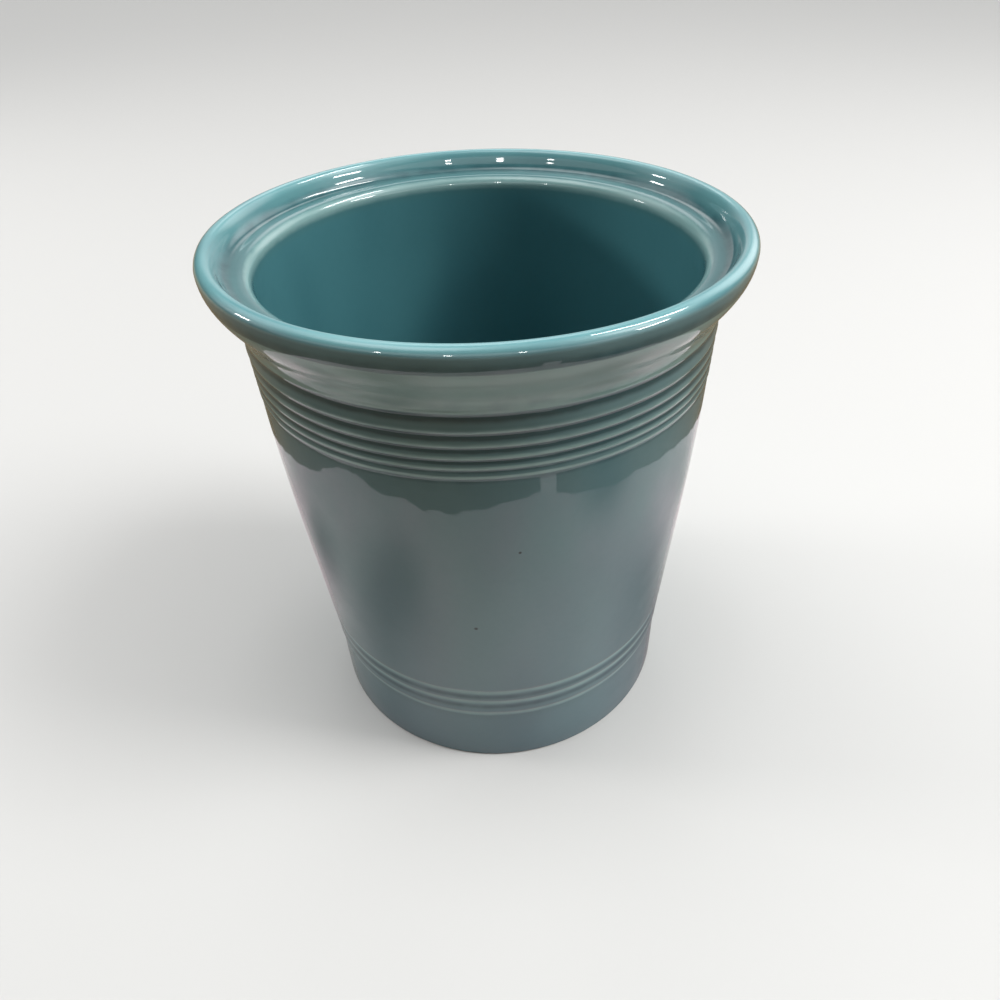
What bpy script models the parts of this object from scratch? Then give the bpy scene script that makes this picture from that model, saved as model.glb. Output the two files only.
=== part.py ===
"""Open ceramic crock: one glazed body with a rounded lip, a lid ledge and stepped ridges.

Metres, +Z up. The origin is on the axis, at the middle of the foot.
"""
import math

import bmesh
import bpy

# Height and mouth
HEIGHT = 0.168
RIM_RADIUS = 0.07666
LIP_ROLL = 0.00256
MOUTH_RADIUS = 0.0634
MOUTH_EDGE_ROUND = 0.0032
LEDGE_DROP = 0.00626
LEDGE_WIDTH = 0.0019
COVE_ROUND = 0.0026
LIP_FACE_TILT = math.radians(12)

# Neck, from the lip's widest circle down to the step above the ridges
NECK_DROP = 0.01735
NECK_RADIUS = 0.0693
NECK_STEP = 0.0005
FLARE_SKEW = 1.15

# Upper ridges: each gap is smaller than the one above it, and each band slants out to its crest
RIDGE_COUNT = 5
RIDGE_DROP = 0.0225
RIDGE_GAP = 0.00395
RIDGE_GAP_LOSS = 0.00047
RIDGE_SLANT = 0.11
RIDGE_FALL = 0.0008

# Body wall
BODY_TOP_RADIUS = 0.06865
BODY_FOOT_RADIUS = 0.06325
BODY_BOW = 0.0007
WALL = 0.0055

# Lower ridges, counted upwards from the lowest: each gap is smaller than the one below it
LOW_RIDGE_COUNT = 3
LOW_RIDGE_HEIGHT = 0.0262
LOW_RIDGE_GAP = 0.00685
LOW_RIDGE_GAP_LOSS = 0.0012
LOW_RIDGE_RELIEF = 0.0003
LOW_RIDGE_FALL = 0.0007

# Foot and floor
FOOT_RADIUS = 0.06265
FOOT_EDGE_ROUND = 0.0010
FOOT_RING_WIDTH = 0.0050
FOOT_RECESS = 0.0022
RECESS_ROUND = 0.0010
FLOOR = 0.0065
FLOOR_ROUND = 0.008

# Fineness of the solid
TURN_STEPS = 64
FLARE_POINTS = 8
BODY_POINTS = 6
MERGE_DISTANCE = 0.00001

GLAZE_COLOUR = (0.095, 0.150, 0.155, 1.0)
GLAZE_ROUGHNESS = 0.12

lip_z = HEIGHT - LIP_ROLL
lip_r = RIM_RADIUS - LIP_ROLL
ledge_z = HEIGHT - LEDGE_DROP
ledge_r = MOUTH_RADIUS + MOUTH_EDGE_ROUND
neck_z = lip_z - NECK_DROP
floor_z = FOOT_RECESS + FLOOR


def arc(centre_r, centre_z, radius, start, end, count):
    """Points along an arc in the (r, z) plane, angles in degrees from +r, both ends included."""
    points = []
    for i in range(count + 1):
        angle = math.radians(start + (end - start) * i / count)
        points.append((centre_r + radius * math.cos(angle), centre_z + radius * math.sin(angle)))
    return points


def ridge_heights():
    """Crests of the upper ridges, from the top one down."""
    heights = []
    z = lip_z - RIDGE_DROP
    gap = RIDGE_GAP
    for _ in range(RIDGE_COUNT):
        heights.append(z)
        z -= gap
        gap -= RIDGE_GAP_LOSS
    return heights


def low_ridge_heights():
    """Crests of the lower ridges, from the top one down."""
    heights = []
    z = LOW_RIDGE_HEIGHT
    gap = LOW_RIDGE_GAP
    for _ in range(LOW_RIDGE_COUNT):
        heights.append(z)
        z += gap
        gap -= LOW_RIDGE_GAP_LOSS
    return heights[::-1]


body_top_z = ridge_heights()[-1] - RIDGE_FALL
body_foot_z = low_ridge_heights()[-1] - LOW_RIDGE_FALL


def body_radius(z):
    """Radius of the plain wall: a straight taper, bowed outwards most at a third of the way down."""
    share = (body_top_z - z) / (body_top_z - body_foot_z)
    bow = BODY_BOW * 27 / 4 * share * (1 - share) ** 2
    return BODY_TOP_RADIUS + (BODY_FOOT_RADIUS - BODY_TOP_RADIUS) * share + bow


def ridge_floor(z):
    """Radius of the wall between the upper ridges, from the neck step down to the body."""
    share = (neck_z - z) / (neck_z - body_top_z)
    start = NECK_RADIUS - NECK_STEP
    return start + (BODY_TOP_RADIUS - start) * share


def inside_points():
    """From the middle of the floor, up the inner wall and over the rounded inner edge of the mouth."""
    corner_z = floor_z + FLOOR_ROUND
    corner_r = body_radius(corner_z) - WALL - FLOOR_ROUND
    points = [(0.0, floor_z)]
    points += arc(corner_r, corner_z, FLOOR_ROUND, -90, 0, 4)
    for i in range(1, BODY_POINTS):
        z = corner_z + (body_top_z - corner_z) * i / (BODY_POINTS - 1)
        points.append((body_radius(z) - WALL, z))
    points += arc(ledge_r, ledge_z - MOUTH_EDGE_ROUND, MOUTH_EDGE_ROUND, 180, 90, 4)
    return points


def mouth_points():
    """The flat ledge, the cove behind it and the rounded lip, as far as the lip's widest circle."""
    points = arc(ledge_r + LEDGE_WIDTH, ledge_z + COVE_ROUND, COVE_ROUND, -90, -math.degrees(LIP_FACE_TILT), 3)
    points += arc(lip_r, lip_z, LIP_ROLL, 180 - math.degrees(LIP_FACE_TILT), 90, 3)
    points += arc(lip_r, lip_z, LIP_ROLL, 90, 0, 4)[1:]
    return points


def neck_points():
    """The flare below the lip: half a cosine wave that stays wide near the lip."""
    points = []
    for i in range(1, FLARE_POINTS + 1):
        share = i / FLARE_POINTS
        swell = (1 + math.cos(math.pi * share ** FLARE_SKEW)) / 2
        points.append((NECK_RADIUS + (RIM_RADIUS - NECK_RADIUS) * swell, lip_z - NECK_DROP * share))
    return points


def ridge_points():
    """The neck step and the upper ridges: each band slants out to a crest, then falls back sharply."""
    points = []
    above = neck_z
    for z in ridge_heights():
        points.append((ridge_floor(above - RIDGE_FALL), above - RIDGE_FALL))
        points.append((ridge_floor(z) + RIDGE_SLANT * (above - z), z))
        above = z
    points.append((BODY_TOP_RADIUS, body_top_z))
    return points


def wall_points():
    """The plain wall and the lower ridges."""
    crests = low_ridge_heights()
    points = []
    for i in range(1, BODY_POINTS):
        z = body_top_z + (crests[0] - body_top_z) * i / BODY_POINTS
        points.append((body_radius(z), z))
    for z in crests:
        points.append((body_radius(z), z))
        points.append((body_radius(z - LOW_RIDGE_FALL) - LOW_RIDGE_RELIEF, z - LOW_RIDGE_FALL))
    return points


def foot_points():
    """The foot band, the ring that it stands on and the recess inside the ring."""
    ring_outer = FOOT_RADIUS - FOOT_EDGE_ROUND
    ring_inner = ring_outer - FOOT_RING_WIDTH
    points = arc(ring_outer, FOOT_EDGE_ROUND, FOOT_EDGE_ROUND, 0, -90, 3)
    points.append((ring_inner, 0.0))
    points += arc(ring_inner - RECESS_ROUND, FOOT_RECESS - RECESS_ROUND, RECESS_ROUND, 0, 90, 2)
    points.append((0.0, FOOT_RECESS))
    return points


def turned(name, profile, collection):
    """Turn an (r, z) profile once round the axis."""
    mesh = bpy.data.meshes.new(name)
    points = [(r, 0.0, z) for r, z in profile]
    edges = [(i, i + 1) for i in range(len(points) - 1)]
    mesh.from_pydata(points, edges, [])
    work = bmesh.new()
    work.from_mesh(mesh)
    bmesh.ops.remove_doubles(work, verts=work.verts, dist=MERGE_DISTANCE)
    work.to_mesh(mesh)
    work.free()
    body = bpy.data.objects.new(name, mesh)
    collection.objects.link(body)
    screw = body.modifiers.new("turn", "SCREW")
    screw.axis = "Z"
    screw.angle = 2 * math.pi
    screw.screw_offset = 0.0
    screw.steps = TURN_STEPS
    screw.render_steps = TURN_STEPS
    screw.use_merge_vertices = True
    screw.merge_threshold = MERGE_DISTANCE
    screw.use_smooth_shade = True
    return body


def glaze():
    """Grey-teal gloss glaze."""
    material = bpy.data.materials.new("teal_glaze")
    material.use_nodes = True
    shader = material.node_tree.nodes["Principled BSDF"]
    shader.inputs["Base Color"].default_value = GLAZE_COLOUR
    shader.inputs["Roughness"].default_value = GLAZE_ROUGHNESS
    shader.inputs["Metallic"].default_value = 0.0
    return material


def build():
    for old in list(bpy.data.objects):
        bpy.data.objects.remove(old, do_unlink=True)
    crock = bpy.data.collections.new("ceramic_crock")
    bpy.context.scene.collection.children.link(crock)
    profile = inside_points() + mouth_points() + neck_points() + ridge_points() + wall_points() + foot_points()
    body = turned("jar_body", profile, crock)
    body.data.materials.append(glaze())


build()
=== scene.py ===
import math

import bpy
from mathutils import Matrix, Vector


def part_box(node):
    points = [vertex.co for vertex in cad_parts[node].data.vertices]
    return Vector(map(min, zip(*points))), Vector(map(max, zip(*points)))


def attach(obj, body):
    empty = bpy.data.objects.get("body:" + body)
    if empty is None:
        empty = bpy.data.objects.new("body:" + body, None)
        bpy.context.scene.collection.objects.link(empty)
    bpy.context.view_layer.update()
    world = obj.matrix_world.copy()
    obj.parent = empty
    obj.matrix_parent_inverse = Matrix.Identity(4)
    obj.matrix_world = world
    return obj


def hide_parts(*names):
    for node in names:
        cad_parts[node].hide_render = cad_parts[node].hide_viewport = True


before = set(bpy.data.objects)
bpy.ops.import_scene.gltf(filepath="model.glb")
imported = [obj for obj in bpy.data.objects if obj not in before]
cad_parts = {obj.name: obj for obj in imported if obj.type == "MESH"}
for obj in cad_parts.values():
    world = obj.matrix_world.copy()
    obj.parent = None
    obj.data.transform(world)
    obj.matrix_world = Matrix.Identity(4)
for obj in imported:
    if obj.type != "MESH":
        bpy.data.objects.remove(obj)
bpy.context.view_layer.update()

# An open ceramic crock in grey-teal glaze: one turned body on a pale floor, with soft lights and a camera.
# Metres, +Z up, with the crock's axis on the origin.

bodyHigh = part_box("jar_body")[1]

crock = {
    "height": bodyHigh[2],
    "rimRadius": bodyHigh[0],
    # lip and mouth
    "lipRoll": 0.00256,
    "lipFaceTilt": 5,  # degrees
    "mouthRadius": 0.0634,
    "mouthEdgeRound": 0.0032,
    "ledgeDrop": 0.00626,
    "ledgeWidth": 0.0019,
    "coveRound": 0.0026,
    # neck, from the lip's widest circle down to the step above the ridges
    "neckDrop": 0.01735,
    "neckRadius": 0.0693,
    "neckStep": 0.0005,
    "flareSkew": 1.15,
    # upper ridges: every gap is smaller than the one above it
    "ridgeCount": 5,
    "ridgeDrop": 0.0225,
    "ridgeGap": 0.00395,
    "ridgeGapLoss": 0.00047,
    "ridgeSlant": 0.11,
    "ridgeFall": 0.0011,
    "bandBulge": 1.7,  # above 1, a band swells out mostly near its crest
    # plain wall
    "bodyTopRadius": 0.06865,
    "bodyFootRadius": 0.06325,
    "bodyBow": 0.0007,
    "wall": 0.0055,
    # lower ridges, counted from the lowest up
    "lowRidgeCount": 3,
    "lowRidgeHeight": 0.0262,
    "lowRidgeGap": 0.00685,
    "lowRidgeGapLoss": 0.0012,
    "lowRidgeRelief": 0.0005,
    "lowRidgeFall": 0.0007,
    # foot and floor
    "footRadius": 0.06265,
    "footEdgeRound": 0.0010,
    "footRingWidth": 0.0050,
    "footRecess": 0.0022,
    "recessRound": 0.0010,
    "floor": 0.0065,
    "floorRound": 0.008,
    "ringInnerEase": 0.00035,
    # how softly the glaze rounds the corners off
    "glazeSoftness": 0.00042,
    "mouthSoftness": 0.0011,
    "softSamples": 6,  # radii read on each side of a point
    "samplesPerSoftness": 2.5,
    "softEnds": 2.5,  # an outline's end is softened less within this many softnesses of it
    "leastSoftness": 1e-6,
    # deep glaze with painted shade, from 0 where it is even to 1 where it has run together
    "deepest": 1.2,
    "hollowReach": 0.0011,  # how far along the wall a hollow acts on the glaze
    "coveFull": 0.48,  # the inward turn, in radians a millimetre, that fills a cove with glaze
    "bandFull": 0.06,  # how far behind its crests a band has all the glaze it can hold, as a share of its gap
    "bandCurve": 1.25,
    "lastBand": 0.6,  # the lowest band holds less of it
    "bandTail": 0.0035,  # how far below the last crest the glaze is still deep
    "lowHollows": (0.62, 0.0038, 0.0009),  # lower ridges, with painted shade under each step: how deep, how far under the step, and how wide
    "dripDrop": 0.0025,  # glaze hangs deepest, with painted shade, this far under the lip's widest circle
    "dripAbove": 0.0030,
    "dripBelow": 0.0048,
    "dripAndShadeDepth": 0.50,
    # thin, pale glaze, partly painted highlight on the crests and painted light over the neck, as radians
    # that the wall turns in a millimetre
    "edgeReach": 0.0005,  # how far along the wall an edge acts on the glaze
    "crestThinning": (0.45, 1.50),  # the first upper crest keeps more glaze and less painted highlight than the last
    "crestDrop": 0.0003,  # the outer crests are palest a little below their edge
    "lowCrests": (0.30, 0.0013, 0.0008),  # lower ridges, with painted highlight: how pale, how far under the step, and how wide
    "lipThinning": 0.15,  # the lip keeps more glaze than the other edges
    "lipTail": 4,  # points under the widest circle that still count as lip
    "mouthReach": 0.0013,
    "mouthShift": 0.0007,  # the mouth edge is palest a little to its inner side
    "mouthThinning": (0.13, 2.3),  # taken off its turning, and the share of the rest
    # painted light: the whole neck is made paler by this much
    "neckPaintedLight": 0.33,
    "footThinning": 0.2,
    "insideFade": 0.004,  # how far below the mouth the inside colour takes over
    # fineness of the mesh: points in each stretch of the outline, and steps down the outside
    "turns": 352,
    "floorPoints": 8,
    "floorCornerPoints": 10,
    "insidePoints": 12,
    "innerNeckPoints": 8,
    "mouthPoints": {"corner": 14, "ledge": 5, "cove": 10, "face": 6, "lip": 12},
    "footPoints": {"edge": 8, "ring": 4, "ease": 4, "curve": 6, "recess": 8},
    "flareStep": 0.0009,
    "wallStep": 0.0046,
    "ridgeStep": 0.0003,
    "lowRidgeStep": 0.0005,
    "aboveRidges": 0.001,  # how far past the ridges their finer steps go on
    "belowRidges": 0.0015,
    "roundLowRidges": 0.002,
    "seamMerge": 0.000005,
    # unevenness of the cast wall
    "rippleDepth": 0.0002,
    "rippleSize": 0.030,
    "rippleDetail": 1.0,
    "rippleStart": 0.004,
    "rippleSeed": 3.0,
}
lipZ = crock["height"] - crock["lipRoll"]
lipCentre = crock["rimRadius"] - crock["lipRoll"]
ledgeZ = crock["height"] - crock["ledgeDrop"]
ledgeStart = crock["mouthRadius"] + crock["mouthEdgeRound"]
ledgeEnd = ledgeStart + crock["ledgeWidth"]
neckZ = lipZ - crock["neckDrop"]
floorZ = crock["footRecess"] + crock["floor"]


nodeGrid = {"across": 230, "down": -260, "inRow": 12}


def put(tree, kind, inputs=None, **settings):
    # one node: sockets given as inputs are linked, numbers and colours are set
    node = tree.nodes.new(kind)
    row, column = divmod(len(tree.nodes), nodeGrid["inRow"])
    node.location = (nodeGrid["across"] * column, nodeGrid["down"] * row)
    for name, value in settings.items():
        setattr(node, name, value)
    for key, value in (inputs or {}).items():
        if isinstance(value, bpy.types.NodeSocket):
            tree.links.new(value, node.inputs[key])
        else:
            node.inputs[key].default_value = value
    return node


def bell(away, reach):
    # 1 in the middle, and next to nothing past three reaches
    return math.exp(-(away / reach) ** 2 / 2)


# Outline of the crock, as (radius, z) points from the floor, over the lip, to the middle underneath

def arcPoints(centreR, centreZ, radius, start, end, count):
    angles = [math.radians(start + (end - start) * i / count) for i in range(count + 1)]
    return [Vector((centreR + radius * math.cos(a), centreZ + radius * math.sin(a))) for a in angles]


def ridgeHeights():
    # crests of the upper ridges, from the top one down
    heights = []
    z = lipZ - crock["ridgeDrop"]
    gap = crock["ridgeGap"]
    for _ in range(crock["ridgeCount"]):
        heights.append(z)
        z -= gap
        gap -= crock["ridgeGapLoss"]
    return heights


def lowRidgeHeights():
    # crests of the lower ridges, from the top one down
    heights = []
    z = crock["lowRidgeHeight"]
    gap = crock["lowRidgeGap"]
    for _ in range(crock["lowRidgeCount"]):
        heights.append(z)
        z += gap
        gap -= crock["lowRidgeGapLoss"]
    return heights[::-1]


bodyTopZ = ridgeHeights()[-1] - crock["ridgeFall"]
bodyFootZ = lowRidgeHeights()[-1] - crock["lowRidgeFall"]


def bodyRadius(z):
    # a straight taper, bowed outwards most at a third of the way down, where the curve's highest value is 1
    share = (bodyTopZ - z) / (bodyTopZ - bodyFootZ)
    curve = 27 / 4 * share * (1 - share) ** 2
    taper = (crock["bodyFootRadius"] - crock["bodyTopRadius"]) * share
    return crock["bodyTopRadius"] + taper + crock["bodyBow"] * curve


def ridgeFloor(z):
    # the wall between the upper ridges, from the neck step down to the plain wall
    share = (neckZ - z) / (neckZ - bodyTopZ)
    start = crock["neckRadius"] - crock["neckStep"]
    return start + (crock["bodyTopRadius"] - start) * share


def flareRadius(z):
    # half a cosine wave that stays wide near the lip
    share = (lipZ - z) / crock["neckDrop"]
    swell = (1 + math.cos(math.pi * share ** crock["flareSkew"])) / 2
    return crock["neckRadius"] + (crock["rimRadius"] - crock["neckRadius"]) * swell


def ridgeRadius(z):
    # every band swells out to its crest, then falls back sharply
    fall = crock["ridgeFall"]
    above = neckZ
    edge = crock["neckRadius"]
    for crestZ in ridgeHeights() + [bodyTopZ]:
        hollowZ = above - fall
        hollow = ridgeFloor(hollowZ)
        if z > hollowZ:
            return hollow + (edge - hollow) * (z - hollowZ) / fall
        crest = ridgeFloor(crestZ) + crock["ridgeSlant"] * (above - crestZ)
        if z > crestZ:
            left = (z - crestZ) / (hollowZ - crestZ)
            return crest + (hollow - crest) * left ** crock["bandBulge"]
        above = crestZ
        edge = crest
    return crock["bodyTopRadius"]


def lowRadius(z):
    # the lower ridges are drips of glaze over shallow steps: each hollow fades out into the wall below it
    relief = crock["lowRidgeRelief"]
    fall = crock["lowRidgeFall"]
    crests = lowRidgeHeights()
    ends = crests[1:] + [crests[-1] - crock["lowRidgeGap"]]
    for crestZ, endZ in zip(crests, ends):
        hollowZ = crestZ - fall
        if hollowZ < z <= crestZ:
            return bodyRadius(z) - relief * (crestZ - z) / fall
        if endZ < z <= hollowZ and endZ != ends[-1]:
            return bodyRadius(z) - relief * (z - endZ) / (hollowZ - endZ)
    if z > crests[0]:
        return bodyRadius(z)
    return footRadius(z)


def footRadius(z):
    # the last hollow runs straight down to the foot
    start = bodyRadius(bodyFootZ) - crock["lowRidgeRelief"]
    share = (bodyFootZ - z) / (bodyFootZ - crock["footEdgeRound"])
    return start + (crock["footRadius"] - start) * share


def outsideRadius(z):
    if z > neckZ:
        return flareRadius(z)
    if z > bodyTopZ:
        return ridgeRadius(z)
    return lowRadius(z)


def glazedRadius(z):
    # the glaze rounds every corner off: a weighted mean of the radii just above and below
    spread = crock["glazeSoftness"]
    samples = crock["softSamples"]
    total = 0.0
    weights = 0.0
    for k in range(-samples, samples + 1):
        away = k * spread / crock["samplesPerSoftness"]
        weight = bell(away, spread)
        total += weight * outsideRadius(min(z + away, lipZ))
        weights += weight
    return total / weights


def straightPoints(start, end, count):
    # the points between two ends, which are left out
    return [start.lerp(end, i / count) for i in range(1, count)]


def lengthsAlong(points):
    lengths = [0.0]
    for a, b in zip(points, points[1:]):
        lengths.append(lengths[-1] + (b - a).length)
    return lengths


def softened(points, reach):
    # every point moves to the weighted mean of its neighbours on both sides, and less so towards the ends
    lengths = lengthsAlong(points)
    soft = []
    for here in lengths:
        nearestEnd = min(here, lengths[-1] - here)
        spread = max(min(reach, nearestEnd / crock["softEnds"]), crock["leastSoftness"])
        weights = [bell(s - here, spread) for s in lengths]
        total = sum(weights)
        soft.append(sum((p * w for p, w in zip(points, weights)), Vector((0.0, 0.0))) / total)
    return soft


def insideOutline():
    cornerZ = floorZ + crock["floorRound"]
    cornerR = bodyRadius(cornerZ) - crock["wall"] - crock["floorRound"]
    count = crock["floorPoints"]
    points = [Vector((cornerR * i / count, floorZ)) for i in range(count)]
    points += arcPoints(cornerR, cornerZ, crock["floorRound"], -90, 0, crock["floorCornerPoints"])
    count = crock["insidePoints"]
    for i in range(1, count):
        z = cornerZ + (bodyTopZ - cornerZ) * i / (count - 1)
        points.append(Vector((bodyRadius(z) - crock["wall"], z)))
    # the first step is left out, so that the wall leans in to the mouth's radius
    count = crock["innerNeckPoints"]
    rise = ledgeZ - crock["mouthEdgeRound"] - bodyTopZ
    points += [Vector((crock["mouthRadius"], bodyTopZ + rise * i / count)) for i in range(2, count)]
    return points


def mouthOutline():
    # the mouth's edge, the ledge, the cove behind it and the rounded lip, as far as the lip's widest circle
    tilt = crock["lipFaceTilt"]
    edge = crock["mouthEdgeRound"]
    cove = crock["coveRound"]
    roll = crock["lipRoll"]
    counts = crock["mouthPoints"]
    corner = arcPoints(ledgeStart, ledgeZ - edge, edge, 180, 90, counts["corner"])
    hollow = arcPoints(ledgeEnd, ledgeZ + cove, cove, -90, -tilt, counts["cove"])
    ledge = straightPoints(corner[-1], hollow[0], counts["ledge"])
    top = arcPoints(lipCentre, lipZ, roll, 180 - tilt, 90, counts["lip"])
    face = straightPoints(hollow[-1], top[0], counts["face"])
    outer = arcPoints(lipCentre, lipZ, roll, 90, 0, counts["lip"])[1:]
    return softened(corner + ledge + hollow + face + top, crock["mouthSoftness"]) + outer


def outsideOutline():
    # from just under the lip's widest circle down to the foot, with more points where the ridges are
    ridgeTop = neckZ + crock["aboveRidges"]
    ridgeEnd = bodyTopZ - crock["belowRidges"]
    lowTop = lowRidgeHeights()[0] + crock["roundLowRidges"]
    lowEnd = bodyFootZ - crock["roundLowRidges"]
    stretches = [
        (lipZ, ridgeTop, crock["flareStep"]),
        (ridgeTop, ridgeEnd, crock["ridgeStep"]),
        (ridgeEnd, lowTop, crock["wallStep"]),
        (lowTop, lowEnd, crock["lowRidgeStep"]),
        (lowEnd, crock["footEdgeRound"], crock["wallStep"]),
    ]
    points = []
    for top, bottom, step in stretches:
        count = math.ceil((top - bottom) / step)
        for i in range(1, count + 1):
            z = top + (bottom - top) * i / count
            points.append(Vector((glazedRadius(z), z)))
    points[-1].x = crock["footRadius"]
    return points


def footOutline():
    # the foot's edge, the ring that it stands on and the recess inside it
    edge = crock["footEdgeRound"]
    ringOuter = crock["footRadius"] - edge
    ringInner = ringOuter - crock["footRingWidth"]
    recess = crock["footRecess"]
    curve = crock["recessRound"]
    ease = crock["ringInnerEase"]
    counts = crock["footPoints"]
    points = arcPoints(ringOuter, edge, edge, 0, -90, counts["edge"])[1:]
    count = counts["ring"]
    points += [Vector((ringOuter + (ringInner + ease - ringOuter) * i / count, 0.0)) for i in range(1, count)]
    points += arcPoints(ringInner + ease, ease, ease, -90, -180, counts["ease"])
    points += arcPoints(ringInner - curve, recess - curve, curve, 0, 90, counts["curve"])
    count = counts["recess"]
    points += [Vector(((ringInner - curve) * (1 - i / count), recess)) for i in range(1, count + 1)]
    return points


def widestPoint(outline):
    return max(range(len(outline)), key=lambda i: outline[i].x)


def wallTurning(outline, reach, before=0.0):
    # how sharply the wall turns outwards near each point, in radians a millimetre: below 0 in a hollow
    along = lengthsAlong(outline)
    turning = [0.0] * len(outline)
    for i in range(1, len(outline) - 1):
        a = outline[i] - outline[i - 1]
        b = outline[i + 1] - outline[i]
        turning[i] = math.atan2(b.x * a.y - b.y * a.x, a.dot(b))
    scale = reach * math.sqrt(2 * math.pi) * 1000
    return [
        sum(t * bell(s - here + before, reach) for s, t in zip(along, turning)) / scale
        for here in along
    ]


def sunkBehind(point, crests):
    # how far a point lies behind the line from the crest above to the crest below, as a share of their gap
    for (topZ, topR), (lowZ, lowR) in zip(crests, crests[1:]):
        if lowZ < point.y <= topZ:
            gap = topZ - lowZ
            line = topR + (lowR - topR) * (topZ - point.y) / gap
            return max(line - point.x, 0.0) / gap
    return 0.0


def dripAndShadeDepth(z):
    # painted shade under the lip, drawn as glaze hanging deep there
    away = z - (lipZ - crock["dripDrop"])
    away /= crock["dripAbove"] if away > 0 else crock["dripBelow"]
    return crock["dripAndShadeDepth"] * (1 + math.cos(math.pi * min(abs(away), 1.0))) / 2


def nearLowRidges(z, shape):
    # a soft band a little under each step of the lower ridges
    strength, drop, reach = shape
    return strength * sum(bell(crestZ - drop - z, reach) for crestZ in lowRidgeHeights())


def glazeDepthAndShades(outline):
    # deep glaze and painted shade in the cove, under the lip, behind the crests of the upper ridges and below
    # the lower ones
    broad = wallTurning(outline, crock["hollowReach"])
    lastZ = ridgeHeights()[-1] - crock["bandTail"]
    crests = [(z, glazedRadius(z)) for z in [neckZ] + ridgeHeights() + [lastZ]]
    widest = widestPoint(outline)
    depths = []
    for i, point in enumerate(outline):
        if i <= widest or point.y > neckZ:
            depth = -broad[i] / crock["coveFull"]
            if point.x > lipCentre:
                depth = max(depth, dripAndShadeDepth(point.y))
        elif point.y > lastZ:
            depth = (sunkBehind(point, crests) / crock["bandFull"]) ** crock["bandCurve"]
            if ridgeHeights()[-1] < point.y < ridgeHeights()[-2]:
                depth *= crock["lastBand"]
        else:
            depth = nearLowRidges(point.y, crock["lowHollows"])
        depths.append(min(max(depth, 0.0), crock["deepest"]))
    return depths


def glazeSides(outline):
    # 0 outside, 1 over the lip, 2 on the ledge and 3 down the inside, each easing into the next
    widest = widestPoint(outline)
    sides = []
    for i, point in enumerate(outline):
        if i >= widest:
            sides.append(0.0)
        elif point.x > lipCentre:
            sides.append((point.y - lipZ) / crock["lipRoll"])
        else:
            inwards = (lipCentre - point.x) / (lipCentre - ledgeEnd)
            depth = (ledgeZ - crock["mouthEdgeRound"] - point.y) / crock["insideFade"]
            sides.append(1.0 + min(max(inwards, 0.0), 1.0) + min(max(depth, 0.0), 1.0))
    return sides


def edgeThinningAndLight(outline):
    # the turning of the wall, played down over the mouth, the lip, the first upper crests and the foot; pale
    # as thin glaze, partly painted highlight on the crests, with painted light added over the whole neck
    sharp = wallTurning(outline, crock["edgeReach"])
    crest = wallTurning(outline, crock["edgeReach"], crock["crestDrop"])
    mouth = wallTurning(outline, crock["mouthReach"], -crock["mouthShift"])
    mouthLeast, mouthShare = crock["mouthThinning"]
    widest = widestPoint(outline)
    coveMiddle = ledgeEnd + crock["coveRound"] / 2
    firstShare, lastShare = crock["crestThinning"]
    thinningAndLight = []
    for i, point in enumerate(outline):
        if i <= widest + crock["lipTail"] and point.x > coveMiddle:
            thinningAndLight.append(sharp[i] * crock["lipThinning"])
        elif i <= widest:
            thinningAndLight.append((mouth[i] - mouthLeast) * mouthShare)
        elif point.y > neckZ:
            # painted light: the whole neck is made paler
            thinningAndLight.append(crest[i] + crock["neckPaintedLight"])
        elif point.y > bodyTopZ:
            down = (neckZ - point.y) / (neckZ - bodyTopZ)
            thinningAndLight.append(crest[i] * (firstShare + (lastShare - firstShare) * down))
        elif point.y > crock["rippleStart"]:
            thinningAndLight.append(nearLowRidges(point.y, crock["lowCrests"]))
        else:
            thinningAndLight.append(crest[i] * crock["footThinning"])
    return thinningAndLight


outlineMarks = ("edgeThinningAndLight", "glazeDepthAndShade", "glazeSide")


def outlineMesh():
    outline = insideOutline() + mouthOutline() + outsideOutline() + footOutline()
    mesh = bpy.data.meshes.new("crockOutline")
    edges = [(i, i + 1) for i in range(len(outline) - 1)]
    mesh.from_pydata([(p.x, 0.0, p.y) for p in outline], edges, [])
    marks = (edgeThinningAndLight(outline), glazeDepthAndShades(outline), glazeSides(outline))
    for name, values in zip(outlineMarks, marks):
        mesh.attributes.new(name, "FLOAT", "POINT").data.foreach_set("value", values)
    print(f"outline: {len(outline)} points")
    return mesh


# The lathe: a grid of outline points by turns, each column swung round the axis

latheInputs = {
    "Outline": "NodeSocketGeometry",
    "Turns": "NodeSocketInt",
    "Ripple Depth": "NodeSocketFloat",
    "Ripple Size": "NodeSocketFloat",
    "Ripple Start": "NodeSocketFloat",
    "Ripple Seed": "NodeSocketFloat",
    "Glaze": "NodeSocketMaterial",
}


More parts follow.
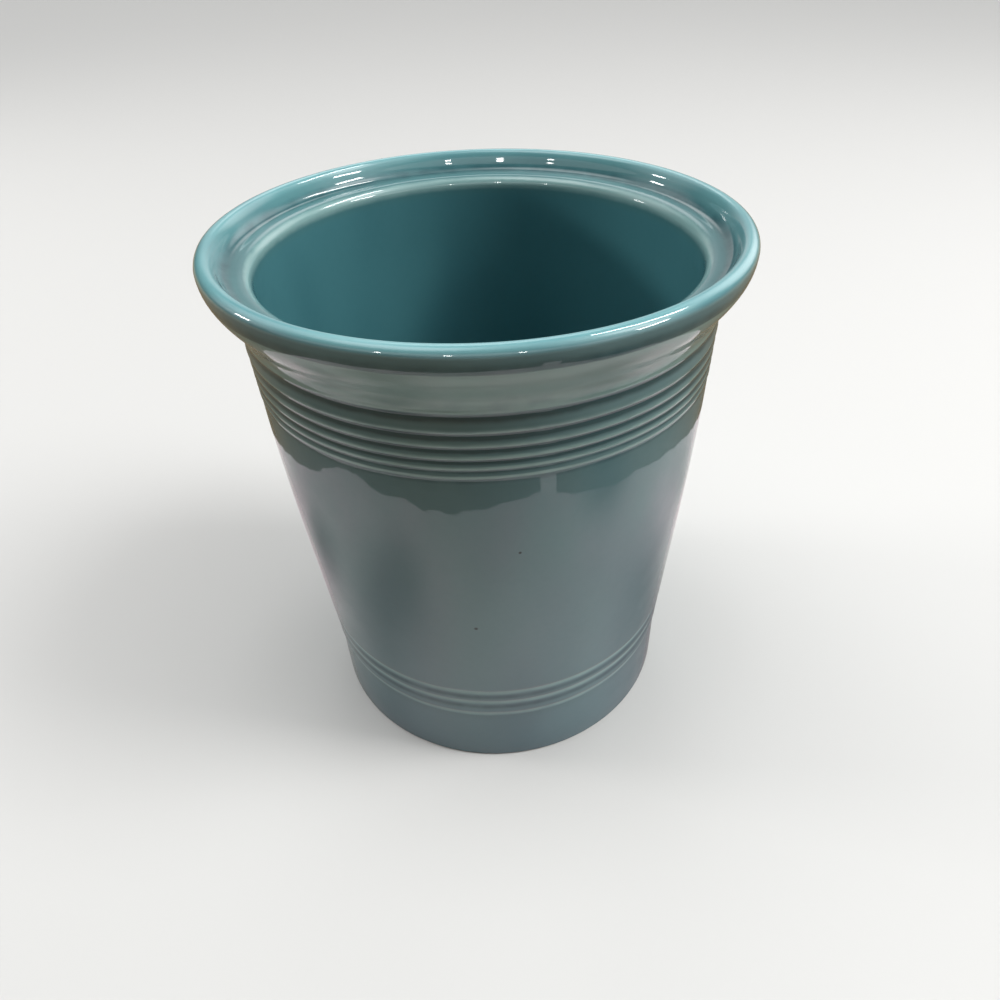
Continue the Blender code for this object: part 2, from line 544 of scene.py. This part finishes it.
def latheTree():
    tree = bpy.data.node_groups.new("crockLathe", "GeometryNodeTree")
    for name, kind in latheInputs.items():
        tree.interface.new_socket(name, in_out="INPUT", socket_type=kind)
    tree.interface.new_socket("Crock", in_out="OUTPUT", socket_type="NodeSocketGeometry")
    given = put(tree, "NodeGroupInput").outputs

    size = put(tree, "GeometryNodeAttributeDomainSize", {"Geometry": given["Outline"]})
    count = size.outputs["Point Count"]
    columns = put(tree, "FunctionNodeIntegerMath", {0: given["Turns"], 1: 1}, operation="ADD").outputs[0]
    grid = put(tree, "GeometryNodeMeshGrid", {"Vertices X": columns, "Vertices Y": count})
    index = put(tree, "GeometryNodeInputIndex").outputs[0]
    column = put(tree, "FunctionNodeIntegerMath", {
        0: index, 1: count,
    }, operation="DIVIDE_FLOOR").outputs[0]
    row = put(tree, "FunctionNodeIntegerMath", {0: index, 1: count}, operation="MODULO").outputs[0]

    # each grid point takes the marks and the place of its outline point
    marked = grid.outputs["Mesh"]
    for name in outlineMarks:
        mark = put(tree, "GeometryNodeInputNamedAttribute", {"Name": name}, data_type="FLOAT").outputs[0]
        fromOutline = put(tree, "GeometryNodeSampleIndex", {
            "Geometry": given["Outline"], "Value": mark, "Index": row,
        }, data_type="FLOAT").outputs[0]
        marked = put(tree, "GeometryNodeStoreNamedAttribute", {
            "Geometry": marked, "Name": name, "Value": fromOutline,
        }, data_type="FLOAT", domain="POINT").outputs[0]
    where = put(tree, "GeometryNodeInputPosition").outputs[0]
    outlinePlace = put(tree, "GeometryNodeSampleIndex", {
        "Geometry": given["Outline"], "Value": where, "Index": row,
    }, data_type="FLOAT_VECTOR").outputs[0]

    # clockwise, so that the faces look outwards
    share = put(tree, "ShaderNodeMath", {0: column, 1: given["Turns"]}, operation="DIVIDE").outputs[0]
    angle = put(tree, "ShaderNodeMath", {0: share, 1: -2 * math.pi}, operation="MULTIPLY").outputs[0]
    turned = put(tree, "ShaderNodeVectorRotate", {
        "Vector": outlinePlace, "Angle": angle,
    }, rotation_type="Z_AXIS").outputs[0]
    placed = put(tree, "GeometryNodeSetPosition", {"Geometry": marked, "Position": turned}).outputs[0]
    closed = put(tree, "GeometryNodeMergeByDistance", {
        "Geometry": placed, "Distance": crock["seamMerge"],
    }).outputs[0]

    # slow waves in the wall, always inwards, and none where it stands
    scale = put(tree, "ShaderNodeMath", {0: 1.0, 1: given["Ripple Size"]}, operation="DIVIDE").outputs[0]
    waves = put(tree, "ShaderNodeTexNoise", {
        "Vector": where, "W": given["Ripple Seed"], "Scale": scale, "Detail": crock["rippleDetail"],
    }, noise_dimensions="4D").outputs[0]
    height = put(tree, "ShaderNodeSeparateXYZ", {0: where}).outputs["Z"]
    above = put(tree, "ShaderNodeMapRange", {
        "Value": height, "From Min": given["Ripple Start"], "From Max": crock["lowRidgeHeight"],
    }, interpolation_type="SMOOTHSTEP").outputs[0]
    depth = put(tree, "ShaderNodeMath", {0: given["Ripple Depth"], 1: above}, operation="MULTIPLY").outputs[0]
    push = put(tree, "ShaderNodeMath", {0: waves, 1: depth}, operation="MULTIPLY").outputs[0]
    normal = put(tree, "GeometryNodeInputNormal").outputs[0]
    inwards = put(tree, "ShaderNodeVectorMath", {0: normal, "Scale": push}, operation="SCALE").outputs[0]
    offset = put(tree, "ShaderNodeVectorMath", {0: inwards, "Scale": -1.0}, operation="SCALE").outputs[0]
    waved = put(tree, "GeometryNodeSetPosition", {"Geometry": closed, "Offset": offset}).outputs[0]

    smooth = put(tree, "GeometryNodeSetShadeSmooth", {"Geometry": waved}).outputs[0]
    real = put(tree, "GeometryNodeRealizeInstances", {"Geometry": smooth}).outputs[0]
    glazed = put(tree, "GeometryNodeSetMaterial", {
        "Geometry": real, "Material": given["Glaze"],
    }).outputs[0]
    put(tree, "NodeGroupOutput", {"Crock": glazed})
    return tree


def runTree(name, mesh, tree, values):
    # runs a geometry tree on a mesh and keeps the result as a plain mesh
    piece = bpy.data.objects.new(name, mesh)
    bpy.context.scene.collection.objects.link(piece)
    modifier = piece.modifiers.new("lathe", "NODES")
    modifier.node_group = tree
    for socket in tree.interface.items_tree:
        if socket.in_out == "INPUT" and socket.name in values:
            modifier[socket.identifier] = values[socket.name]
    bpy.context.view_layer.update()
    finished = piece.evaluated_get(bpy.context.evaluated_depsgraph_get())
    result = bpy.data.meshes.new_from_object(finished)
    piece.modifiers.clear()
    piece.data = result
    result.name = name
    print(f"{name}: {len(result.vertices)} points, {len(result.polygons)} faces")
    return piece


# Glaze

glaze = {
    # the outside colour is greyer as a painted reflection, and the lip colour paler as thinner glaze and
    # painted light from above
    "outside": (0.111, 0.208, 0.230, 1),
    "lip": (0.170, 0.398, 0.425, 1),
    "ledge": (0.074, 0.196, 0.208, 1),
    "inside": (0.068, 0.208, 0.234, 1),
    "pooledWithShade": (0.25, 0.38, 0.42, 1),  # how much darker a hollow is, where the glaze runs deep and painted shade falls
    "thinAndLit": (0.265, 0.43, 0.42, 1),  # over an edge, where the clay shows through, partly painted highlight on crests and painted light over the neck
    "cloud": (0.80, 0.84, 0.86, 1),
    "grain": (0.97, 0.98, 0.98, 1),
    "speck": (0.012, 0.020, 0.020, 1),
    "clay": (0.62, 0.55, 0.45, 1),
    "clayShade": (0.40, 0.33, 0.25, 1),
    # patterns: size, detail, how far drawn out down the wall, and the values between which each fades in
    "cloudPattern": (0.034, 1.0, 2.6, 0.40, 0.75),
    "grainPattern": (0.0024, 2.0, 1.0, 0.35, 0.80),
    "unevenPattern": (0.006, 2.0, 1.0, 0.2, 0.8),
    "glossPattern": (0.012, 3.0, 1.0, 0.3, 0.7),
    "clayPattern": (0.0016, 4.0, 1.0, 0.3, 0.75),
    "unevenness": (0.8, 1.2),
    "clayUnevenness": 0.35,
    # marks of the outline at which the glaze starts to pool or to thin, and is fully so
    "hollowPools": (0.04, 0.90),
    "edgeThins": (0.03, 0.30),
    "thinnest": 0.75,
    # angle from the front towards the right in degrees, height, size
    "specks": [
        (5.5, 0.1033, 0.0006),
        (-6.0, 0.0720, 0.0008),
        (96.0, 0.0860, 0.0006),
        (171.0, 0.1120, 0.0007),
    ],
    "speckCore": 0.4,
    "speckStrength": 0.9,
    # the ring is wiped bare below these heights, a little unevenly
    "wipedFrom": 0.00042,
    "wipedTo": 0.00030,
    "wipeWaver": 0.0003,
    "wipeSize": 0.004,
    # gloss
    "roughness": (0.289, 0.391),
    "clayRoughness": 0.85,
    "softSheen": 0.12,
    "coatRoughness": 0.032,
    "coatIor": 1.6,
    "skinSize": 0.016,
    "skinDetail": 1.0,
    "skinDepth": 0.00005,
    "toothSize": 0.0006,
    "toothDepth": 0.00006,
}


def tealGlaze():
    material = bpy.data.materials.new("tealGlaze")
    material.use_nodes = True
    tree = material.node_tree
    shader = tree.nodes["Principled BSDF"]
    place = put(tree, "ShaderNodeTexCoord").outputs["Object"]

    def noise(size, detail=3.0, stretch=1.0):
        drawn = put(tree, "ShaderNodeMapping", {"Vector": place, "Scale": (1, 1, 1 / stretch)}).outputs[0]
        return put(tree, "ShaderNodeTexNoise", {
            "Vector": drawn, "Scale": 1 / size, "Detail": detail,
        }).outputs[0]

    def span(value, low, high, toLow=0.0, toHigh=1.0):
        return put(tree, "ShaderNodeMapRange", {
            "Value": value, "From Min": low, "From Max": high, "To Min": toLow, "To Max": toHigh,
        }, interpolation_type="SMOOTHSTEP").outputs[0]

    def pattern(name, toLow=0.0, toHigh=1.0):
        size, detail, stretch, low, high = glaze[name]
        return span(noise(size, detail, stretch), low, high, toLow, toHigh)

    def figure(a, b, kind="ADD"):
        return put(tree, "ShaderNodeMath", {0: a, 1: b}, operation=kind).outputs[0]

    def blend(share, a, b, kind="MIX"):
        return put(tree, "ShaderNodeMix", {
            0: share, 6: a, 7: b,
        }, data_type="RGBA", blend_type=kind).outputs[2]

    def mark(name):
        return put(tree, "ShaderNodeAttribute", attribute_name=name).outputs["Fac"]

    # one glaze, greyer outside as a painted reflection, paler over the lip as thinner glaze and painted light
    # from above, and bluer from the ledge down the inside
    side = mark("glazeSide")
    colour = blend(span(side, 0.0, 1.0), glaze["outside"], glaze["lip"])
    colour = blend(span(side, 1.0, 2.0), colour, glaze["ledge"])
    colour = blend(span(side, 2.0, 3.0), colour, glaze["inside"])
    colour = blend(pattern("cloudPattern"), colour, glaze["cloud"], "MULTIPLY")
    colour = blend(pattern("grainPattern"), colour, glaze["grain"], "MULTIPLY")

    # pooled glaze with painted shade in the hollows, and thin glaze with painted highlight on the edges, a
    # little unevenly
    uneven = pattern("unevenPattern", *glaze["unevenness"])
    pooledWithShade = span(figure(mark("glazeDepthAndShade"), uneven, "MULTIPLY"), *glaze["hollowPools"])
    colour = blend(pooledWithShade, colour, glaze["pooledWithShade"], "MULTIPLY")
    thinAndLit = span(figure(mark("edgeThinningAndLight"), uneven, "MULTIPLY"), *glaze["edgeThins"], 0.0, glaze["thinnest"])
    colour = blend(thinAndLit, colour, glaze["thinAndLit"])

    # a few iron specks
    for angle, z, size in glaze["specks"]:
        a = math.radians(angle)
        r = bodyRadius(z)
        centre = (r * math.sin(a), -r * math.cos(a), z)
        away = put(tree, "ShaderNodeVectorMath", {0: place, 1: centre}, operation="DISTANCE").outputs["Value"]
        speck = span(away, size, size * glaze["speckCore"], 0.0, glaze["speckStrength"])
        colour = blend(speck, colour, glaze["speck"])

    # bare clay where the foot ring was wiped
    height = put(tree, "ShaderNodeSeparateXYZ", {0: place}).outputs["Z"]
    wavering = figure(height, figure(noise(glaze["wipeSize"]), glaze["wipeWaver"], "MULTIPLY"))
    bare = span(wavering, glaze["wipedFrom"], glaze["wipedTo"])
    shade = pattern("clayPattern", 0.0, glaze["clayUnevenness"])
    clay = blend(shade, glaze["clay"], glaze["clayShade"])
    colour = blend(bare, colour, clay)
    tree.links.new(colour, shader.inputs["Base Color"])

    gloss = pattern("glossPattern", *glaze["roughness"])
    rough = put(tree, "ShaderNodeMix", {0: bare, 2: gloss, 3: glaze["clayRoughness"]}).outputs[0]
    tree.links.new(rough, shader.inputs["Roughness"])
    shader.inputs["Specular IOR Level"].default_value = glaze["softSheen"]
    coat = span(bare, 0.0, 1.0, 1.0, 0.0)
    tree.links.new(coat, shader.inputs["Coat Weight"])
    shader.inputs["Coat Roughness"].default_value = glaze["coatRoughness"]
    shader.inputs["Coat IOR"].default_value = glaze["coatIor"]

    # the faint unevenness of a fired gloss, and the tooth of the bare clay
    skin = figure(noise(glaze["skinSize"], glaze["skinDetail"]), glaze["skinDepth"], "MULTIPLY")
    tooth = figure(figure(noise(glaze["toothSize"]), glaze["toothDepth"], "MULTIPLY"), bare, "MULTIPLY")
    relief = figure(skin, tooth)
    bump = put(tree, "ShaderNodeBump", {"Height": relief, "Distance": 1.0, "Strength": 1.0}).outputs[0]
    tree.links.new(bump, shader.inputs["Normal"])
    tree.links.new(bump, shader.inputs["Coat Normal"])
    return material


def crockBody():
    values = {
        "Turns": crock["turns"],
        "Ripple Depth": crock["rippleDepth"],
        "Ripple Size": crock["rippleSize"],
        "Ripple Start": crock["rippleStart"],
        "Ripple Seed": crock["rippleSeed"],
        "Glaze": tealGlaze(),
    }
    body = runTree("crockBody", outlineMesh(), latheTree(), values)
    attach(body, "root")
    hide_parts("jar_body")


# The floor. The camera sees it plain, and the glaze mirrors the ground painted on it.

ground = {
    "size": 12.0,
    "colour": (0.62, 0.62, 0.61, 1),
    "roughness": 0.9,
    # mirrored: a pale round under the crock, a dimmer ground past its edge, paler again far off
    "roundRadius": 0.204,
    "roundWaver": 0.014,
    "roundWaverSize": 0.03,
    "roundWaverDetail": 2.0,
    # azimuth, how much wider the round is there, reach in degrees
    "roundSwells": [(-113, 0.018, 28), (158, 0.009, 16), (-161, -0.007, 24)],
    "roundColour": (0.570, 0.570, 0.550, 1),
    "roundTint": (0.650, 0.550, 0.570, 1),
    "roundTintSize": 0.09,
    "roundTintDetail": 1.0,
    "tintFade": (0.35, 0.65),
    "dimColour": (0.130, 0.102, 0.062, 1),
    "farRadius": 1.2,
    "farColour": (0.346, 0.273, 0.166, 1),
    "stripAngles": (152.5, 159.5),  # a pale strip runs out over the dimmer ground, as far as its end
    "stripEnd": 0.245,
    "stripColour": (0.66, 0.62, 0.61, 1),
    # softly darker spots: place, from where and to where they fade, and how dark
    "shadeColour": (0, 0, 0, 1),
    "shades": [
        (0.0, 0.0, 0.058, 0.100, 0.34),
        (-0.090, -0.072, 0.0, 0.070, 0.60),
        (0.098, -0.022, 0.0, 0.072, 0.62),
        (-0.133, 0.010, 0.0, 0.050, 0.55),
        (-0.100, -0.108, 0.0, 0.050, 0.35),
        (0.170, -0.140, 0.0, 0.075, 0.90),
        (0.150, 0.055, 0.0, 0.066, 0.34),
    ],
}


def mirroredGround(tree):
    place = put(tree, "ShaderNodeTexCoord").outputs["Object"]

    def figure(a, b, kind):
        return put(tree, "ShaderNodeMath", {0: a, 1: b}, operation=kind).outputs[0]

    def fade(value, low, high, atLow=0.0, atHigh=1.0, kind="LINEAR"):
        return put(tree, "ShaderNodeMapRange", {
            "Value": value, "From Min": low, "From Max": high, "To Min": atLow, "To Max": atHigh,
        }, interpolation_type=kind).outputs[0]

    def noise(size, detail):
        return put(tree, "ShaderNodeTexNoise", {
            "Vector": place, "Scale": 1 / size, "Detail": detail,
        }).outputs[0]

    def blend(share, a, b):
        return put(tree, "ShaderNodeMix", {0: share, 6: a, 7: b}, data_type="RGBA").outputs[2]

    # how far out a spot lies, made a little uneven so that the round's edge wavers
    straight = put(tree, "ShaderNodeVectorMath", {0: place}, operation="LENGTH").outputs["Value"]
    waver = noise(ground["roundWaverSize"], ground["roundWaverDetail"])
    stray = put(tree, "ShaderNodeMath", {
        0: waver, 1: ground["roundWaver"], 2: -ground["roundWaver"] / 2,
    }, operation="MULTIPLY_ADD").outputs[0]
    radius = figure(straight, stray, "ADD")
    spot = put(tree, "ShaderNodeSeparateXYZ", {0: place}).outputs
    angle = figure(spot["X"], spot["Y"], "ARCTAN2")
    for azimuth, wider, reach in ground["roundSwells"]:
        turned = figure(angle, math.radians(azimuth), "SUBTRACT")
        turned = put(tree, "ShaderNodeMath", {0: turned}, operation="ABSOLUTE").outputs[0]
        radius = figure(radius, fade(turned, 0.0, math.radians(reach), wider, 0.0, "SMOOTHSTEP"), "SUBTRACT")

    # the round, and the dimmer ground with the strip on it
    tinted = fade(noise(ground["roundTintSize"], ground["roundTintDetail"]), *ground["tintFade"])
    inner = blend(tinted, ground["roundColour"], ground["roundTint"])
    distant = fade(radius, ground["roundRadius"], ground["farRadius"])
    outer = blend(distant, ground["dimColour"], ground["farColour"])
    start, end = (math.radians(a) for a in ground["stripAngles"])
    along = put(tree, "ShaderNodeMath", {
        0: angle, 1: (start + end) / 2, 2: (end - start) / 2,
    }, operation="COMPARE").outputs[0]
    onStrip = figure(along, figure(radius, ground["stripEnd"], "LESS_THAN"), "MULTIPLY")
    outer = blend(onStrip, outer, ground["stripColour"])
    colour = blend(figure(radius, ground["roundRadius"], "GREATER_THAN"), inner, outer)

    for x, y, near, far, depth in ground["shades"]:
        away = put(tree, "ShaderNodeVectorMath", {
            0: place, 1: (x, y, 0),
        }, operation="DISTANCE").outputs["Value"]
        shade = fade(away, near, far, depth, 0.0, "SMOOTHSTEP")
        colour = blend(shade, colour, ground["shadeColour"])
    return colour


def floorPiece():
    half = ground["size"] / 2
    corners = [(-half, -half, 0), (half, -half, 0), (half, half, 0), (-half, half, 0)]
    mesh = bpy.data.meshes.new("studioFloor")
    mesh.from_pydata(corners, [], [(0, 1, 2, 3)])
    floor = bpy.data.objects.new("studioFloor", mesh)
    bpy.context.scene.collection.objects.link(floor)
    material = bpy.data.materials.new("palePaper")
    material.use_nodes = True
    tree = material.node_tree
    shader = tree.nodes["Principled BSDF"]
    seen = put(tree, "ShaderNodeLightPath").outputs["Is Camera Ray"]
    shown = put(tree, "ShaderNodeMix", {
        0: seen, 6: mirroredGround(tree), 7: ground["colour"],
    }, data_type="RGBA").outputs[2]
    tree.links.new(shown, shader.inputs["Base Color"])
    shader.inputs["Roughness"].default_value = ground["roughness"]
    shader.inputs["Specular IOR Level"].default_value = 0.0
    mesh.materials.append(material)
    print(f"floor: {ground['size']} m wide")


def towards(azimuth, elevation):
    # azimuth from +Y towards +X, both in degrees
    a = math.radians(azimuth)
    e = math.radians(elevation)
    return Vector((math.sin(a) * math.cos(e), math.cos(a) * math.cos(e), math.sin(e)))


# Lamps and windows

lamps = {
    # name: azimuth and elevation it shines from, distance, width, height, watts, colour
    "panels": {
        "lampLeft": (166, 24, 1.6, 0.07, 0.10, 0.8, (1.0, 0.98, 0.95)),
        "lampMiddle": (193.5, 24, 1.6, 0.09, 0.10, 1.0, (1.0, 0.98, 0.95)),
        "lampRight": (220.5, 24, 1.6, 0.07, 0.10, 0.8, (1.0, 0.98, 0.95)),
        "frontBand": (195, 27, 1.8, 9.0, 0.60, 12.0, (1.0, 1.0, 1.0)),
        "sideLeft": (282, 19, 1.5, 0.19, 0.13, 2.0, (1.0, 0.98, 0.96)),
        "fillLeft": (280, 15, 1.5, 0.34, 0.13, 6.6, (1.0, 0.98, 0.96)),
        "sideRight": (111, 27, 1.5, 0.36, 0.16, 5.4, (1.0, 0.98, 0.96)),
        "longRight": (74, 54, 1.5, 0.20, 0.68, 8.5, (1.0, 0.98, 0.96)),
        "fillRight": (100, 34, 1.5, 0.50, 0.30, 6.4, (1.0, 0.98, 0.96)),
        "fillWindow": (98, 50, 1.5, 0.50, 0.50, 7.5, (1.0, 1.0, 1.0)),
        "fillTop": (0, 88, 1.5, 0.50, 0.50, 3.3, (1.0, 1.0, 1.0)),
    },
    # seen in the glaze alone, and not seen in it
    "glints": ("lampLeft", "lampMiddle", "lampRight", "frontBand", "sideLeft", "sideRight", "longRight"),
    "fills": ("fillLeft", "fillRight", "fillWindow", "fillTop"),
}


def lampPanels():
    aim = Vector((0, 0, crock["height"]))
    for name, (azimuth, elevation, distance, width, height, watts, colour) in lamps["panels"].items():
        way = towards(azimuth, elevation)
        data = bpy.data.lights.new(name, "AREA")
        data.shape = "RECTANGLE"
        data.size = width
        data.size_y = height
        data.energy = watts
        data.color = colour
        light = bpy.data.objects.new(name, data)
        light.location = aim + way * distance
        light.rotation_euler = way.to_track_quat("Z", "Y").to_euler()
        light.visible_camera = False
        light.visible_diffuse = name not in lamps["glints"]
        light.visible_glossy = name not in lamps["fills"]
        bpy.context.scene.collection.objects.link(light)
    print(f"lights: {len(lamps['panels'])}")


# Broad soft glows all round, and a plain backdrop where the camera looks past the floor

air = {
    "backdrop": (0.93, 0.93, 0.93, 1),
    # name: azimuth and elevation of its middle, reach in degrees, brightness
    "glows": {
        "window": (105, 45, 14, 3.0),
        "windowWall": (90, 48, 28, 1.3),
        "rightWall": (120, 48, 28, 1.0),
        "leftWall": (310, 48, 28, 1.2),
        "leftWindow": (285, 24, 26, 0.7),
        "leftCeiling": (270, 70, 25, 2.3),
        "ceiling": (0, 90, 30, 0.9),
        "behind": (0, 42, 19, 2.2),
        "farRight": (45, 24, 26, 2.0),
        "lowFront": (180, 3, 35, 0.3),
        "lowRight": (120, 3, 35, 1.0),
        "lowBehind": (0, 3, 35, 0.6),
    },
}


def softAir():
    world = bpy.data.worlds.new("softAir")
    world.use_nodes = True
    tree = world.node_tree
    direction = put(tree, "ShaderNodeTexCoord").outputs["Generated"]
    total = 0.0
    for azimuth, elevation, reach, brightness in air["glows"].values():
        near = put(tree, "ShaderNodeVectorMath", {
            0: direction, 1: towards(azimuth, elevation),
        }, operation="DOT_PRODUCT").outputs["Value"]
        edge = math.cos(math.radians(reach))
        glow = put(tree, "ShaderNodeMapRange", {
            "Value": near, "From Min": edge, "From Max": 1.0, "To Max": brightness,
        }, interpolation_type="SMOOTHSTEP").outputs[0]
        total = put(tree, "ShaderNodeMath", {0: glow, 1: total}, operation="ADD").outputs[0]
    seen = put(tree, "ShaderNodeLightPath").outputs["Is Camera Ray"]
    white = put(tree, "ShaderNodeCombineXYZ", {0: total, 1: total, 2: total}).outputs[0]
    shown = put(tree, "ShaderNodeMix", {0: seen, 6: white, 7: air["backdrop"]}, data_type="RGBA").outputs[2]
    tree.links.new(shown, tree.nodes["Background"].inputs["Color"])
    bpy.context.scene.world = world
    print(f"glows: {len(air['glows'])}")


camera = {
    "place": (0.0, -0.209585, 0.237599),
    "pitch": 0.6917,  # down from level
    "yaw": 0.0339,
    "roll": -0.0322,
    "lens": 26.533,
    "sensor": 36,
    "shiftX": -0.0122353,
    "shiftY": 0.0048786,
    "nearest": 0.01,
    "furthest": 50,
}


def studioCamera():
    pitch, yaw, roll = camera["pitch"], camera["yaw"], camera["roll"]
    forward = Vector((math.sin(yaw) * math.cos(pitch), math.cos(yaw) * math.cos(pitch), -math.sin(pitch)))
    level = forward.cross(Vector((0, 0, 1))).normalized()
    upright = level.cross(forward)
    right = level * math.cos(roll) + upright * math.sin(roll)
    up = upright * math.cos(roll) - level * math.sin(roll)
    data = bpy.data.cameras.new("studioCamera")
    data.sensor_width = camera["sensor"]
    data.lens = camera["lens"]
    data.shift_x = camera["shiftX"]
    data.shift_y = camera["shiftY"]
    data.clip_start = camera["nearest"]
    data.clip_end = camera["furthest"]
    lookout = bpy.data.objects.new("studioCamera", data)
    axes = Matrix((right, up, -forward)).transposed().to_4x4()
    lookout.matrix_world = Matrix.Translation(camera["place"]) @ axes
    bpy.context.scene.collection.objects.link(lookout)
    bpy.context.scene.camera = lookout
    print("camera placed")


crockBody()
floorPiece()
lampPanels()
softAir()
studioCamera()
bpy.context.scene.view_settings.view_transform = "Standard"

print("crock and studio ready")
